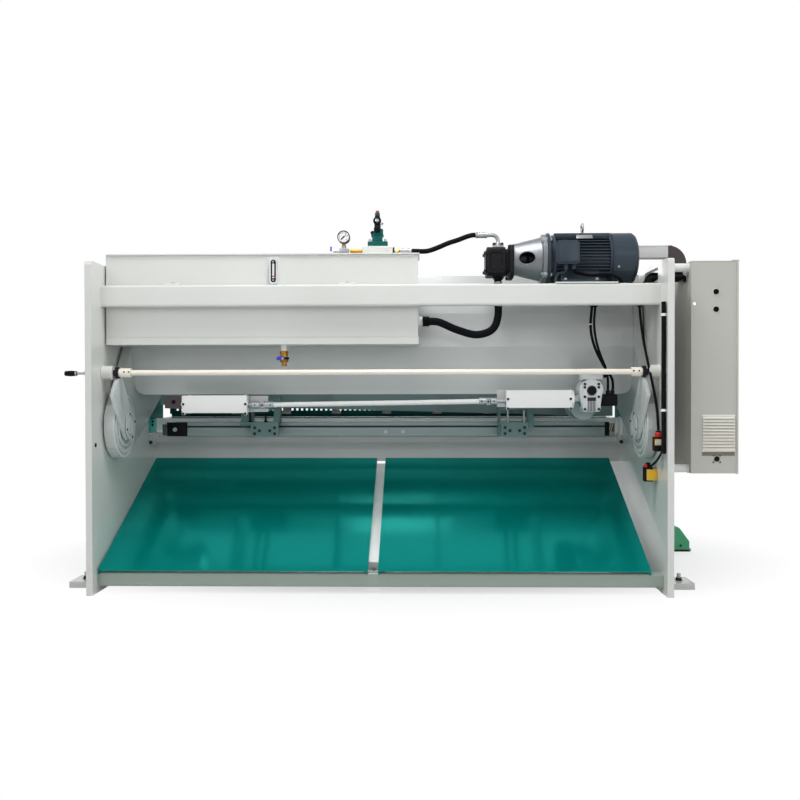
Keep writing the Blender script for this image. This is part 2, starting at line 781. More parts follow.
def make_supports(frame):
    for i, x in enumerate(SUPPORT_PLACES + (SQUARING_X,)):
        squaring = x == SQUARING_X
        length = SQUARING_LENGTH if squaring else SUPPORT_LENGTH
        outline = [
            (TABLE_FRONT + SEAT, TABLE_TOP - 0.001),
            (TABLE_FRONT + SEAT, TABLE_TOP - SUPPORT_HEIGHT - 0.06),
            (TABLE_FRONT + 0.05, TABLE_TOP - SUPPORT_HEIGHT - 0.06),
            (TABLE_FRONT + length, TABLE_TOP - 0.045),
            (TABLE_FRONT + length, TABLE_TOP - 0.001),
        ]
        name = "squaring_arm" if squaring else f"support_arm_{i + 1}"
        arm = prism(frame, name, outline, "X", x - SUPPORT_WIDTH / 2, x + SUPPORT_WIDTH / 2, "paint")
        groove = block(frame, f"{name}_groove", (x - 0.007, x + 0.007),
                       (TABLE_FRONT + 0.03, TABLE_FRONT + length + 0.01),
                       (TABLE_TOP - 0.012, TABLE_TOP + 0.01), "paint")
        cut(arm, groove)


def make_rams(frame):
    for side, name in ((-1, "ram_left"), (1, "ram_right")):
        x = side * RAM_X
        profile = [
            (RAM_ROD_BOTTOM, RAM_ROD_RADIUS),
            (RAM_BOTTOM, RAM_ROD_RADIUS),
            (RAM_BOTTOM, RAM_RADIUS),
            (RAM_TOP - 0.02, RAM_RADIUS),
            (RAM_TOP, RAM_RADIUS * 0.8),
        ]
        ram = turned(frame, name, profile, "Z", (x, RAM_Y), "dark_steel")
        bracket = block(frame, f"{name}_bracket", sided(side, RAM_X, INNER - SEAT),
                        (RAM_Y - 0.045, RAM_Y + 0.045), (RAM_BOTTOM + 0.04, RAM_TOP - 0.04), "dark_steel")
        join(ram, bracket)


# Swing beam


def circle_tangent(centre, radius, point, side):
    """Angle on a circle where the line from an outside point touches it."""
    dy, dz = point[0] - centre[0], point[1] - centre[1]
    away = hypot(dy, dz)
    return atan2(dz, dy) + side * acos(radius / away)


def arm_outline():
    pivot = (PIVOT_Y, PIVOT_Z)
    low_front = (CARRIER_REAR - SEAT, blade_edge(-SHEET_HALF) + 0.04)
    margin = 0.012
    rear = (SHEET_FOLD_LOW[0] - margin, SHEET_FOLD_LOW[1])
    start = circle_tangent(pivot, ARM_END_RADIUS, rear, 1)
    end = circle_tangent(pivot, ARM_END_RADIUS, low_front, -1) + 2 * pi
    return arc(pivot, ARM_END_RADIUS, start, end, 14) + [
        low_front,
        (CARRIER_REAR - SEAT, CARRIER_TOP - 0.12),
        (0.69, CARRIER_TOP - 0.12),
        (SHEET_TOP[0] + 0.05, SHEET_TOP[1]),
        (SHEET_TOP[0] - margin, SHEET_TOP[1]),
        (SHEET_FOLD_HIGH[0] - margin, SHEET_FOLD_HIGH[1]),
        rear,
    ]


def make_arms(frame):
    for side, name in ((-1, "arm_left"), (1, "arm_right")):
        arm = prism(frame, name, arm_outline(), "X", *sided(side, ARM_INNER, ARM_OUTER), "beam_paint")
        bore = rod(frame, f"{name}_bore", "X", (PIVOT_Y, PIVOT_Z), PIN_RADIUS + SLIDE_FIT,
                   side * (ARM_INNER - CLEAR), side * (ARM_OUTER + CLEAR / 2), "beam_paint")
        cut(arm, bore)


def sheet_line(offset):
    """The folded sheet's line, moved forward along Y by an offset."""
    corners = (SHEET_BOTTOM, SHEET_FOLD_LOW, SHEET_FOLD_HIGH, SHEET_TOP)
    return [(y + offset, z) for y, z in corners]


def make_sheet(frame):
    outline = sheet_line(0) + list(reversed(sheet_line(SHEET_THICKNESS)))
    bm = bmesh.new()
    near = [bm.verts.new((-SHEET_HALF, y, z)) for y, z in outline]
    far = [bm.verts.new((SHEET_HALF, y, z)) for y, z in outline]
    bm.faces.new(near)
    bm.faces.new(list(reversed(far)))
    for i in range(len(outline)):
        j = (i + 1) % len(outline)
        bm.faces.new((near[i], far[i], far[j], near[j]))
    corners = []
    for edge in bm.edges:
        low = all(abs(v.co.z - SHEET_BOTTOM[1]) < 1e-6 for v in edge.verts)
        across = abs(edge.verts[0].co.x - edge.verts[1].co.x) < 1e-6
        if low and across:
            corners.append(edge)
    bmesh.ops.bevel(bm, geom=corners, offset=SHEET_CORNER, segments=5, profile=0.5, affect="EDGES")
    bmesh.ops.triangulate(bm, faces=bm.faces)
    return add_piece(frame, "beam_sheet", bm, "beam_paint")


def make_carrier(frame):
    front = CARRIER_REAR + CARRIER_THICKNESS
    bottom_left = blade_edge(-SHEET_HALF) + 0.002
    bottom_right = blade_edge(SHEET_HALF) + 0.002
    outline = [
        (-SHEET_HALF, bottom_left),
        (SHEET_HALF, bottom_right),
        (SHEET_HALF, CARRIER_TOP),
        (-SHEET_HALF, CARRIER_TOP),
    ]
    plate = prism(frame, "blade_carrier", outline, "Y", CARRIER_REAR, front, "beam_paint")
    for i, x in enumerate(RIB_PLACES):
        rib = prism(
            frame, f"rib_{i + 1}",
            [(y + SHEET_THICKNESS + SEAT, z) for y, z in (
                (SHEET_BOTTOM[0], SHEET_BOTTOM[1] + 0.03), SHEET_FOLD_LOW, SHEET_FOLD_HIGH)][::-1]
            + [(CARRIER_REAR + 0.01, 1.02), (CARRIER_REAR + 0.01, CARRIER_TOP - 0.03)],
            "X", x - RIB_THICKNESS / 2, x + RIB_THICKNESS / 2, "beam_paint",
        )
        join(plate, rib)
    return plate


def make_upper_blade(frame):
    """The raked blade, its face leaning back so that it keeps to the arc of the cutting edge."""
    rear = CARRIER_REAR + CARRIER_THICKNESS + SEAT
    bm = bmesh.new()
    ends = []
    for x in (-SHEET_HALF, SHEET_HALF):
        edge = blade_edge(x)
        drop = hypot(BLADE_FRONT - PIVOT_Y, blade_edge(-SHEET_HALF) - PIVOT_Z)
        reach = sqrt(drop ** 2 - (edge - PIVOT_Z) ** 2)
        face = min(BLADE_FRONT + 0.004, PIVOT_Y + reach)
        ends.append([bm.verts.new((x, y, z)) for y, z in (
            (rear, edge),
            (face, edge),
            (face - BLADE_LEAN * BLADE_HEIGHT, edge + BLADE_HEIGHT),
            (rear, edge + BLADE_HEIGHT),
        )])
    near, far = ends
    bm.faces.new(near)
    bm.faces.new(list(reversed(far)))
    for i in range(4):
        j = (i + 1) % 4
        bm.faces.new((near[i], far[i], far[j], near[j]))
    bmesh.ops.triangulate(bm, faces=bm.faces)
    return add_piece(frame, "upper_blade", bm, "steel")


# Gears of the blade gap adjustment


def involute(angle):
    return tan(angle) - angle


def tooth_flank(teeth):
    """Radius and half angle along one flank, from root to tip."""
    pitch = GEAR_MODULE * teeth / 2
    base = pitch * cos(PRESSURE_ANGLE)
    root = pitch - DEDENDUM * GEAR_MODULE
    tip = pitch + ADDENDUM * GEAR_MODULE
    half = pi / (2 * teeth) - BACKLASH / (2 * pitch)
    low = max(root, base)
    flank = []
    if root < base:
        flank.append((root, half + involute(PRESSURE_ANGLE)))
    for i in range(4):
        radius = low + (tip - low) * i / 3
        flank.append((radius, half + involute(PRESSURE_ANGLE) - involute(acos(min(1.0, base / radius)))))
    return flank


def tooth_points(centre, teeth, angle):
    """One tooth's outline about its middle angle, anticlockwise."""
    flank = tooth_flank(teeth)
    points = []
    for radius, half in flank:
        points.append((centre[0] + radius * cos(angle - half), centre[1] + radius * sin(angle - half)))
    for radius, half in reversed(flank):
        points.append((centre[0] + radius * cos(angle + half), centre[1] + radius * sin(angle + half)))
    return points


def sector_outline():
    pivot = (PIVOT_Y, PIVOT_Z)
    step = 2 * pi / SECTOR_TEETH
    points = []
    for i in range(SECTOR_TEETH_CUT):
        points += tooth_points(pivot, SECTOR_TEETH, SHAFT_BEARING + (i - 1) * step)
    last = SHAFT_BEARING + (SECTOR_TEETH_CUT - 1.5) * step
    first = SHAFT_BEARING - 1.5 * step
    root = GEAR_MODULE * SECTOR_TEETH / 2 - DEDENDUM * GEAR_MODULE
    rear_end = (pivot[0] + root * cos(last), pivot[1] + root * sin(last))
    front_end = (pivot[0] + root * cos(first), pivot[1] + root * sin(first))
    belly = (pivot[0] + root * 0.6 * cos(first - 0.22), pivot[1] + root * 0.6 * sin(first - 0.22))
    start = circle_tangent(pivot, SECTOR_HUB_RADIUS, rear_end, 1)
    end = circle_tangent(pivot, SECTOR_HUB_RADIUS, belly, -1) + 2 * pi
    return points + [rear_end] + arc(pivot, SECTOR_HUB_RADIUS, start, end, 14) + [belly, front_end]


def make_sector(frame, side, name):
    x = sided(side, GEAR_INNER_X, GEAR_INNER_X + GEAR_WIDTH)
    sector = prism(frame, name, sector_outline(), "X", *x, "brass")
    profile = [
        (side * (GEAR_INNER_X - 0.004), SECTOR_HUB_RING),
        (side * (GEAR_INNER_X + GEAR_WIDTH + 0.004), SECTOR_HUB_RING),
        (side * (GEAR_INNER_X + GEAR_WIDTH + 0.004), PIN_RADIUS),
        (side * (OUTER + 0.006), PIN_RADIUS),
    ]
    pin = turned(frame, f"{name}_pin", profile, "X", (PIVOT_Y, PIVOT_Z), "brass")
    return join(sector, pin)


def make_pinion(frame, side, name):
    centre = (SHAFT_Y, SHAFT_Z)
    toward_sector = SHAFT_BEARING + pi
    step = 2 * pi / PINION_TEETH
    points = []
    for i in range(PINION_TEETH):
        points += tooth_points(centre, PINION_TEETH, toward_sector + (i + 0.5) * step)
    pinion = prism(frame, name, points, "X", *sided(side, GEAR_INNER_X, GEAR_INNER_X + GEAR_WIDTH),
                   "dark_steel")
    reach = CRANK_X if side < 0 else OUTER + 0.004
    journal = rod(frame, f"{name}_journal", "X", centre, SHAFT_RADIUS,
                  side * (GEAR_INNER_X + GEAR_WIDTH / 2), side * reach, "dark_steel")
    return join(pinion, journal)


def make_gap_rod(frame):
    end = GEAR_INNER_X - SEAT
    sleeve = end - SLEEVE_LENGTH
    profile = [
        (-end, SLEEVE_RADIUS),
        (-sleeve, SLEEVE_RADIUS),
        (-sleeve, ROD_RADIUS),
        (sleeve, ROD_RADIUS),
        (sleeve, SLEEVE_RADIUS),
        (end, SLEEVE_RADIUS),
    ]
    return turned(frame, "gap_rod", profile, "X", (SHAFT_Y, SHAFT_Z), "paint", SMALL_ROUND)


def make_crank(frame):
    """Crank on the left end of the shaft, its arm pointing forward at rest."""
    near = -(CRANK_X + SEAT)
    far = near - CRANK_THICKNESS
    hub = SHAFT_RADIUS + 0.008
    tip = SHAFT_RADIUS
    end = (SHAFT_Y + CRANK_ARM, SHAFT_Z)
    outline = arc((SHAFT_Y, SHAFT_Z), hub, pi / 2, 3 * pi / 2, 8)
    outline += arc(end, tip, -pi / 2, pi / 2, 8)
    crank = prism(frame, "gap_crank", outline, "X", far, near, "chrome")
    profile = [
        (near - CRANK_THICKNESS / 2, 0.006),
        (far - KNOB_REACH, 0.006),
        (far - KNOB_REACH, KNOB_RADIUS),
        (far - KNOB_REACH - KNOB_LENGTH * 0.9, KNOB_RADIUS),
        (far - KNOB_REACH - KNOB_LENGTH, KNOB_RADIUS * 0.7),
    ]
    knob = turned(frame, "gap_crank_knob", profile, "X", end, "black", SMALL_ROUND)
    return join(crank, knob)


# Back gauge


def screw_height(side):
    return SCREW_Z_LEFT if side < 0 else SCREW_Z_RIGHT


def make_gauge_guide(frame, side, name):
    """Rear gear box with the screw and its guide rod running forward to the blade carrier."""
    z = screw_height(side)
    box_x = GAUGE_BOX_LEFT if side < 0 else GAUGE_BOX_RIGHT
    outline = rectangle(box_x, (z - GAUGE_BOX_HEIGHT / 2, z + GAUGE_BOX_HEIGHT / 2), 0.006, 2)
    box = prism(frame, name, outline, "Y", GAUGE_BOX_Y, GAUGE_BOX_Y + GAUGE_BOX_DEPTH, "paint")
    start = GAUGE_BOX_Y + GAUGE_BOX_DEPTH / 2
    end = CARRIER_REAR - SEAT
    x = side * SCREW_X
    screw = rod(frame, f"{name}_screw", "Y", (x, z), SCREW_RADIUS, start, end, "steel", SMALL_ROUND)
    rod_x = x + side * GUIDE_OFFSET
    guide = rod(frame, f"{name}_rod", "Y", (rod_x, z), GUIDE_RADIUS, start, end, "steel", SMALL_ROUND)
    flange = block(frame, f"{name}_flange", (min(x, rod_x) - 0.04, max(x, rod_x) + 0.04),
                   (end - 0.012, end), (z - 0.03, z + 0.04), "steel")
    return join(box, screw, guide, flange)


def make_hanger(frame, side, name):
    """Nut carriage on the screw and guide rod, with the plate that carries the gauge bar."""
    z = screw_height(side)
    x = side * SCREW_X
    rod_x = x + side * GUIDE_OFFSET
    inner, outer = min(x, rod_x), max(x, rod_x)
    middle = x + HANGER_SHIFT
    left, right = middle - HANGER_WIDTH / 2, middle + HANGER_WIDTH / 2
    y = (HANGER_Y, HANGER_Y + HANGER_DEPTH)
    under_sheet = SHEET_BOTTOM[1] - CLEAR * 0.6
    carriage = block(frame, name, (inner - 0.035, outer + 0.035), y, (z - 0.03, under_sheet),
                     "dark_steel")
    drop = rounded([
        (left, BAR_BOTTOM, 0.01),
        (right, BAR_BOTTOM, 0.01),
        (right, BAR_TOP + 0.03, 0.02),
        (max(outer, middle) + 0.02, z - 0.025, 0),
        (min(inner, middle) - 0.02, z - 0.025, 0),
        (left, BAR_TOP + 0.03, 0.02),
    ], 3)
    front = HANGER_Y + HANGER_DEPTH
    plate = prism(frame, f"{name}_plate", drop, "Y", front - HANGER_THICKNESS, front, "paint")
    foot = block(frame, f"{name}_foot", (left, right), (front - HANGER_THICKNESS, BAR_Y - SEAT),
                 (BAR_BOTTOM, BAR_BOTTOM + HANGER_THICKNESS), "paint")
    join(carriage, plate, foot)
    screw = rod(frame, f"{name}_nut_bore", "Y", (x, z), SCREW_RADIUS + SLIDE_FIT, HANGER_Y - 0.05,
                front + 0.05, "dark_steel", SMALL_ROUND)
    guide = rod(frame, f"{name}_guide_bore", "Y", (rod_x, z), GUIDE_RADIUS + SLIDE_FIT,
                HANGER_Y - 0.05, front + 0.05, "dark_steel", SMALL_ROUND)
    return cut(carriage, screw, guide)


def make_gauge_bar(frame):
    section = [
        (BAR_Y, BAR_BOTTOM),
        (BAR_Y + BAR_DEPTH, BAR_BOTTOM),
        (BAR_Y + BAR_DEPTH, BAR_TOP),
        (BAR_Y - BAR_LIP, BAR_TOP),
        (BAR_Y - BAR_LIP, BAR_TOP - 0.006),
        (BAR_Y, BAR_TOP - 0.006),
    ]
    bar = prism(frame, "gauge_bar", section, "X", -BAR_HALF, BAR_HALF, "paint")
    for side in (-1, 1):
        end = block(frame, f"gauge_bar_end_{side + 1}", sided(side, BAR_HALF - 0.01, BAR_HALF + BAR_END),
                    (BAR_Y - 0.012, BAR_Y + BAR_DEPTH - 0.002), (BAR_BOTTOM + 0.004, BAR_TOP - 0.012),
                    "dark_steel", 0.003)
        join(bar, end)
    return bar


def make_gauge_drive(frame):
    """Cross shaft with its universal joints, worm gear box, motor and rotary encoder."""
    y = GAUGE_BOX_Y + GAUGE_BOX_DEPTH / 2
    left = GAUGE_BOX_LEFT[1] + SEAT
    right = GAUGE_BOX_RIGHT[0] - SEAT
    slope = (SCREW_Z_RIGHT - SCREW_Z_LEFT) / (right - left)
    bm = bmesh.new()
    rings = []
    stations = [
        (left, JOINT_RADIUS), (left + 0.08, JOINT_RADIUS), (left + 0.08, CROSS_RADIUS),
        (right - 0.08, CROSS_RADIUS), (right - 0.08, JOINT_RADIUS), (right, JOINT_RADIUS),
    ]
    for x, radius in stations:
        z = SCREW_Z_LEFT + 0.012 + (x - left) * slope
        ring = []
        for i in range(SMALL_ROUND):
            angle = 2 * pi * i / SMALL_ROUND
            ring.append(bm.verts.new((x, y + radius * cos(angle), z + radius * sin(angle))))
        rings.append(ring)
    for a, b in zip(rings, rings[1:]):
        for i in range(SMALL_ROUND):
            j = (i + 1) % SMALL_ROUND
            bm.faces.new((a[i], b[i], b[j], a[j]))
    bm.faces.new(rings[0])
    bm.faces.new(list(reversed(rings[-1])))
    add_piece(frame, "gauge_cross_shaft", bm, "steel", smooth=True)
    (x0, x1), (z0, z1) = GEARBOX_X, GEARBOX_Z
    middle = (z0 + z1) / 2
    gearbox = prism(frame, "gauge_gearbox", rectangle((x0, x1), (z0, z1), 0.02), "Y",
                    GAUGE_BOX_Y - 0.005, GAUGE_BOX_Y + 0.115, "aluminium")
    flange = rod(frame, "gauge_gearbox_flange", "X", (y, SCREW_Z_RIGHT), 0.033,
                 GAUGE_BOX_RIGHT[1] + SEAT, x0 + 0.02, "aluminium", SMALL_ROUND)
    cover = rod(frame, "gauge_gearbox_cover", "Y", (x1 - 0.045, middle + 0.03), 0.025,
                GAUGE_BOX_Y - 0.013, GAUGE_BOX_Y + 0.01, "black", SMALL_ROUND)
    encoder = turned(frame, "gauge_encoder", [
        (x1 - 0.005, 0.029), (x1 + 0.02, 0.029), (x1 + 0.02, 0.035), (x1 + 0.082, 0.035),
        (x1 + 0.087, 0.03)], "X", (y, SCREW_Z_RIGHT), "black")
    join(gearbox, flange, cover, encoder)
    motor_y = GAUGE_BOX_Y + 0.115 + SEAT
    turned(frame, "gauge_motor", [
        (motor_y, 0.06), (motor_y + 0.012, 0.06), (motor_y + 0.012, 0.055),
        (motor_y + 0.17, 0.055), (motor_y + 0.17, 0.06), (motor_y + 0.22, 0.056)],
        "Y", ((x0 + x1) / 2, SHEET_BOTTOM[1] - CLEAR - 0.06), "motor_grey")
    terminals = block(frame, "gauge_terminal_box", (x0 + 0.01, x1 - 0.025),
                      (GAUGE_BOX_Y + 0.01, GAUGE_BOX_Y + 0.1), (z1 - 0.005, z1 + 0.045), "motor_grey")
    return join(gearbox, terminals)


# Oil tank and its fittings


def make_tank(frame):
    x = (TANK_LEFT, TANK_RIGHT)
    y = (TANK_REAR, TANK_REAR + TANK_DEPTH)
    top = TANK_TOP
    tank = block(frame, "oil_tank", x, y, (TANK_BOTTOM, top), "paint")
    lip = block(frame, "tank_lip", (x[0], x[1] + TANK_LIP_OUT), (y[0] - TANK_LIP_OUT, y[1]),
                (TANK_BOTTOM, TANK_BOTTOM + TANK_LIP), "paint")
    hollow = block(frame, "tank_hollow", (x[0] + TANK_WALL, x[1] - TANK_WALL),
                   (y[0] + TANK_WALL, y[1] - TANK_WALL), (TANK_BOTTOM + TANK_WALL, top + CLEAR), "paint")
    join(tank, lip)
    for i, share in enumerate(TAB_SHARES):
        place = x[0] + share * TANK_LENGTH
        tab = block(frame, f"tank_tab_{i + 1}", (place - TAB_WIDTH / 2, place + TAB_WIDTH / 2),
                    (TOP_RAIL_Y + CLEAR, TANK_REAR + TANK_WALL / 2),
                    (TOP_RAIL_TOP + SEAT, TOP_RAIL_TOP + SEAT + TAB_THICKNESS), "paint")
        join(tank, tab)
    spigot = turned(frame, "suction_spigot", [
        (x[1] - TANK_WALL / 2, 0.024), (x[1] + 0.022, 0.024), (x[1] + 0.022, 0.0195),
        (x[1] + SPIGOT_LENGTH, 0.0195)], "X", (TANK_REAR + SUCTION_DEPTH, SUCTION_Z), "paint",
        SMALL_ROUND)
    level = x[0] + LEVEL_SHARE * TANK_LENGTH
    sight = block(frame, "level_gauge", (level - 0.019, level + 0.019),
                  (TANK_REAR - 0.014, TANK_REAR + 0.002), (top - 0.143, top - 0.016), "black", 0.004)
    join(tank, spigot, sight)
    cut(tank, hollow)
    lid = block(frame, "tank_lid", (x[0] + 0.001, x[1] + LID_OVERHANG),
                (y[0] - LID_OVERHANG, y[1] + LID_OVERHANG), (top + SEAT, top + SEAT + LID_THICKNESS),
                "paint")
    cap = turned(frame, "tank_filler_cap", [
        (top + LID_THICKNESS / 2, CAP_RADIUS), (top + LID_THICKNESS + CAP_RISE, CAP_RADIUS),
        (top + LID_THICKNESS + CAP_RISE + 0.002, CAP_RADIUS - 0.004)],
        "Z", (x[0] + CAP_INSET, (y[0] + y[1]) / 2), "black")
    join(lid, cap)


def make_drain(frame, lever_frame, x, y, z):
    """Drain nipple, ball valve and its small handle, below the tank."""
    bottom = TANK_BOTTOM - SEAT
    profile = [
        (bottom, 0.014), (bottom - 0.03, 0.014), (bottom - 0.03, 0.018), (bottom - 0.085, 0.018),
        (bottom - 0.085, 0.012), (bottom - 0.103, 0.012),
    ]
    valve = turned(frame, "drain_valve", profile, "Z", (x, y), "brass", SMALL_ROUND)
    stem = rod(frame, "drain_stem", "Y", (x, z), 0.006, y - 0.034, y, "brass", SMALL_ROUND)
    join(valve, stem)
    front = y - 0.034 - SEAT
    outline = rounded([
        (x - 0.03, z - 0.006, 0.004), (x + 0.03, z - 0.006, 0.004),
        (x + 0.03, z + 0.01, 0.004), (x - 0.03, z + 0.01, 0.004)], 2)
    prism(lever_frame, "drain_lever", outline, "Y", front - 0.008, front, "blue")


def make_valve_block(frame):
    top = TANK_TOP + SEAT + LID_THICKNESS
    y = TANK_REAR + VALVE_BLOCK_DEPTH
    base = top + SEAT
    manifold = block(frame, "valve_block", (VALVE_BLOCK_LEFT, VALVE_BLOCK_RIGHT),
                     (y - 0.045, y + 0.045), (base, base + VALVE_BLOCK_HEIGHT), "zinc", 0.003)
    z = base + OUTLET_RISE
    fitting = turned(frame, "pressure_fitting", [
        (VALVE_BLOCK_RIGHT - 0.01, 0.016), (VALVE_BLOCK_RIGHT + 0.022, 0.016),
        (VALVE_BLOCK_RIGHT + 0.022, CRIMP_RADIUS), (VALVE_BLOCK_RIGHT + OUTLET_LENGTH, CRIMP_RADIUS)],
        "X", (y, z), "zinc", SMALL_ROUND)
    join(manifold, fitting)
    valve_base = base + VALVE_BLOCK_HEIGHT + SEAT
    left = VALVE_BLOCK_LEFT
    valve = block(frame, "solenoid_valve", (left + 0.0255, left + 0.1225), (y - 0.028, y + 0.028),
                  (valve_base, valve_base + 0.024), "green", 0.002)
    body = block(frame, "valve_body", (left + 0.043, left + 0.101), (y - 0.022, y + 0.022),
                 (valve_base + 0.02, valve_base + 0.085), "green", 0.004)
    knob = turned(frame, "valve_knob", [
        (valve_base + 0.08, 0.014), (valve_base + 0.104, 0.014), (valve_base + 0.104, 0.0195),
        (valve_base + 0.144, 0.0195), (valve_base + 0.144, 0.0125), (valve_base + 0.166, 0.0125),
        (valve_base + 0.166, 0.009), (valve_base + 0.1775, 0.009)],
        "Z", (left + 0.072, y), "black", SMALL_ROUND)
    join(valve, body, knob)
    gauge_x = left - 0.086
    dial_z = base + 0.083
    gauge = turned(frame, "pressure_gauge", [
        (y - 0.028, 0.03), (y - 0.024, 0.0318), (y + 0.004, 0.0318), (y + 0.006, 0.028)],
        "Y", (gauge_x, dial_z), "chrome")
    stem = turned(frame, "gauge_stem", [
        (base + 0.001, 0.016), (base + 0.032, 0.016), (base + 0.032, 0.009), (dial_z, 0.009)],
        "Z", (gauge_x, y - 0.012), "zinc", SMALL_ROUND)
    pipe = rod(frame, "gauge_pipe", "X", (y - 0.012, base + 0.0165), 0.009, gauge_x,
               left - SEAT, "brass", SMALL_ROUND)
    tap = rod(frame, "gauge_tap", "X", (y - 0.012, base + 0.0165), 0.008, gauge_x - 0.066, gauge_x,
              "blue", SMALL_ROUND)
    join(gauge, stem, pipe, tap)


# Motor, pump and hoses


def fin_circle_outline():
    """Motor body section: a circle with straight cooling fins all round."""
    points = []
    centre = (DRIVE_Y, DRIVE_Z)
    for i in range(FIN_COUNT):
        angle = 2 * pi * (i + 0.5) / FIN_COUNT
        half_root = FIN_THICKNESS / 2 / MOTOR_RADIUS
        tip = MOTOR_RADIUS + FIN_HEIGHT
        half_tip = FIN_THICKNESS / 2.6 / tip
        for radius, turn in ((MOTOR_RADIUS, -half_root), (tip, -half_tip), (tip, half_tip),
                             (MOTOR_RADIUS, half_root)):
            points.append((centre[0] + radius * cos(angle + turn), centre[1] + radius * sin(angle + turn)))
    return points


def make_motor(frame):
    axis = (DRIVE_Y, DRIVE_Z)
    body_start = MOTOR_LEFT + MOTOR_FLANGE
    body_end = body_start + MOTOR_BODY
    motor = prism(frame, "motor", fin_circle_outline(), "X", body_start - 0.004, body_end, "motor_grey")
    flange = turned(frame, "motor_flange", [
        (MOTOR_LEFT, MOTOR_FLANGE_RADIUS), (MOTOR_LEFT + MOTOR_FLANGE, MOTOR_FLANGE_RADIUS)],
        "X", axis, "motor_grey", 32)
    join(motor, flange)
    foot_top = MOTOR_BASE_TOP + SEAT
    for i, side in enumerate((-1, 1)):
        outline = [
            (DRIVE_Y + side * out, foot_top + up) for out, up in (
                (0.082, 0), (0.134, 0), (0.134, 0.014), (0.114, 0.014),
                (0.082, 0.075), (0.05, 0.062), (0.096, 0.014), (0.082, 0.014))]
        foot = prism(frame, f"motor_foot_{i + 1}", outline, "X", body_start + 0.04, body_start + 0.22,
                     "motor_grey")
        join(motor, foot)
    cover_start = body_end + SEAT
    turned(frame, "motor_fan_cover", [
        (cover_start, FAN_COVER_RADIUS), (cover_start + FAN_COVER_LENGTH - 0.02, FAN_COVER_RADIUS),
        (cover_start + FAN_COVER_LENGTH - 0.005, FAN_COVER_RADIUS - 0.012),
        (cover_start + FAN_COVER_LENGTH, FAN_COVER_RADIUS - 0.025)], "X", axis, "motor_grey", 32)
    tip = DRIVE_Y - MOTOR_RADIUS - FIN_HEIGHT
    block(frame, "motor_terminal_box", (body_start + 0.006, body_start + 0.117),
          (tip - 0.048, tip - SEAT), (DRIVE_Z - 0.031, DRIVE_Z + 0.079), "motor_grey", 0.006)


def make_motor_base(frame):
    x = (MOTOR_BASE_LEFT, MOTOR_BASE_LEFT + MOTOR_BASE_LENGTH)
    bottom = MOTOR_BASE_TOP - MOTOR_BASE
    base = block(frame, "motor_base", x, (TOP_RAIL_Y, TOP_RAIL_Y + MOTOR_BASE_DEPTH),
                 (bottom, MOTOR_BASE_TOP), "paint")
    rail_front = TOP_RAIL_Y + TOP_RAIL_DEPTH + SEAT
    for i, place in enumerate((x[0] + 0.03, x[1] - 0.04)):
        outline = [
            (rail_front + 0.001, MOTOR_BASE_TOP - MOTOR_BASE_WEB / 2),
            (rail_front + 0.001, TOP_RAIL_Z + 0.01),
            (rail_front + 0.02, TOP_RAIL_Z + 0.01),
            (TOP_RAIL_Y + MOTOR_BASE_DEPTH - 0.06, MOTOR_BASE_TOP - MOTOR_BASE_WEB / 2),
        ]
        gusset = prism(frame, f"motor_gusset_{i + 1}", outline, "X", place, place + 0.01, "paint")
        join(base, gusset)
    web = block(frame, "motor_base_web", x, (rail_front, TOP_RAIL_Y + MOTOR_BASE_DEPTH - 0.001),
                (MOTOR_BASE_TOP - MOTOR_BASE_WEB, MOTOR_BASE_TOP - 0.001), "paint")
    return join(base, web)


def make_pump(frame):
    axis = (DRIVE_Y, DRIVE_Z)
    bell_end = MOTOR_LEFT - SEAT
    bell_start = bell_end - BELL_LENGTH
    bell = turned(frame, "bell_housing", [
        (bell_start, BELL_NECK_RADIUS), (bell_start + 0.02, BELL_NECK_RADIUS),
        (bell_start + 0.035, BELL_NECK_RADIUS + 0.004), (bell_end - 0.022, BELL_RADIUS - 0.008),
        (bell_end - 0.022, MOTOR_FLANGE_RADIUS - 0.01), (bell_end, MOTOR_FLANGE_RADIUS - 0.01)],
        "X", axis, "aluminium", 32)
    middle = (bell_start + bell_end) / 2 - 0.004
    window = prism(frame, "bell_window", rounded([
        (middle - 0.036, DRIVE_Z - 0.028, 0.024), (middle + 0.036, DRIVE_Z - 0.028, 0.024),
        (middle + 0.036, DRIVE_Z + 0.028, 0.024), (middle - 0.036, DRIVE_Z + 0.028, 0.024)], 4),
        "Y", DRIVE_Y - 0.12, DRIVE_Y - 0.03, "aluminium")
    cut(bell, window)
    pump_end = bell_start - SEAT
    pump_start = PUMP_START
    pump_z = DRIVE_Z - PUMP_DROP
    pump = turned(frame, "pump", [
        (pump_start, PUMP_RADIUS - 0.01), (pump_start + 0.008, PUMP_RADIUS),
        (pump_end - 0.05, PUMP_RADIUS), (pump_end - 0.05, PUMP_RADIUS - 0.008),
        (pump_end - 0.018, PUMP_RADIUS - 0.008), (pump_end - 0.018, PUMP_RADIUS + 0.012),
        (pump_end, PUMP_RADIUS + 0.012)], "X", (DRIVE_Y, pump_z), "black")
    port_x = pump_start + PORT_PLACE
    elbow_z = DRIVE_Z + ELBOW_RISE
    upper = turned(frame, "pump_outlet", [
        (DRIVE_Z, PORT_RADIUS), (elbow_z + 0.016, PORT_RADIUS), (elbow_z + 0.022, CRIMP_RADIUS)],
        "Z", (port_x, DRIVE_Y), "black", SMALL_ROUND)
    arm = rod(frame, "pump_elbow", "X", (DRIVE_Y, elbow_z), CRIMP_RADIUS, port_x - ELBOW_ARM, port_x,
              "black", SMALL_ROUND)
    lower = turned(frame, "pump_inlet", [
        (pump_z, PORT_RADIUS + 0.003), (pump_z - PUMP_RADIUS - 0.012, PORT_RADIUS + 0.003)],
        "Z", (port_x, DRIVE_Y), "black", SMALL_ROUND)
    join(pump, upper, arm, lower)
    return port_x


